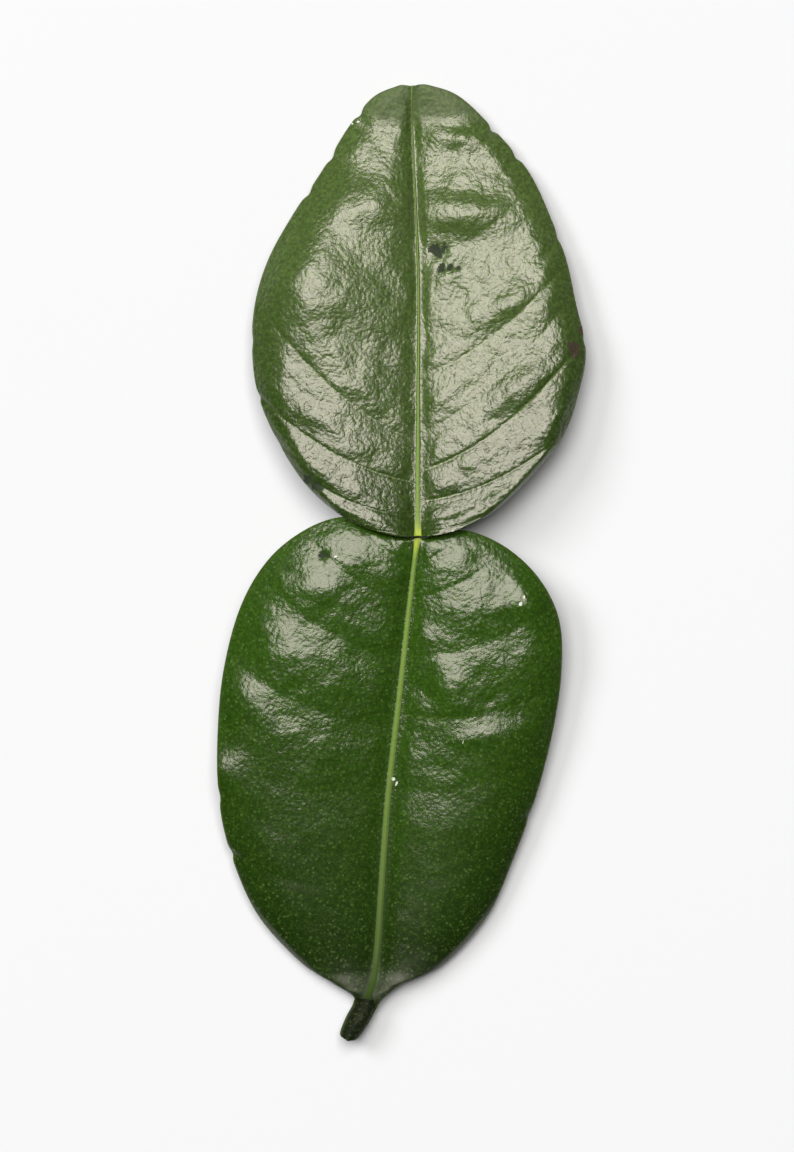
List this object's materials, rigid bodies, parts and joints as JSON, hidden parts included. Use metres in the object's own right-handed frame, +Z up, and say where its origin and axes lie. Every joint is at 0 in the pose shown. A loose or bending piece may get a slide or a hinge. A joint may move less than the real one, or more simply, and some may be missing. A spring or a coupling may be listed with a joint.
{
  "type": "kaffir lime leaf",
  "caption": "Fresh kaffir lime leaf lying glossy side up, its broad blade jointed to a petiole with equally broad wings and a short stalk.",
  "frame": {"origin": "on the surface that the leaf lies on, below the middle of the whole leaf", "axes": "+Z up from the surface, +Y along the leaf from the stalk to the tip of the blade, +X to the right seen from above"},
  "size_m": [0.0424, 0.1102, 0.0074],
  "materials": {
    "blade_green": "glossy, waxy green leaf surface with fine oil glands, paler veins and a pale midrib",
    "wing_green": "glossy deep green leaf surface with fine oil glands and a yellow-green midrib, darkest at the stalk"
  },
  "bodies": {
    "root": {"leaf_blade": "blade_green", "winged_petiole": "wing_green"}
  },
  "joints": []
}
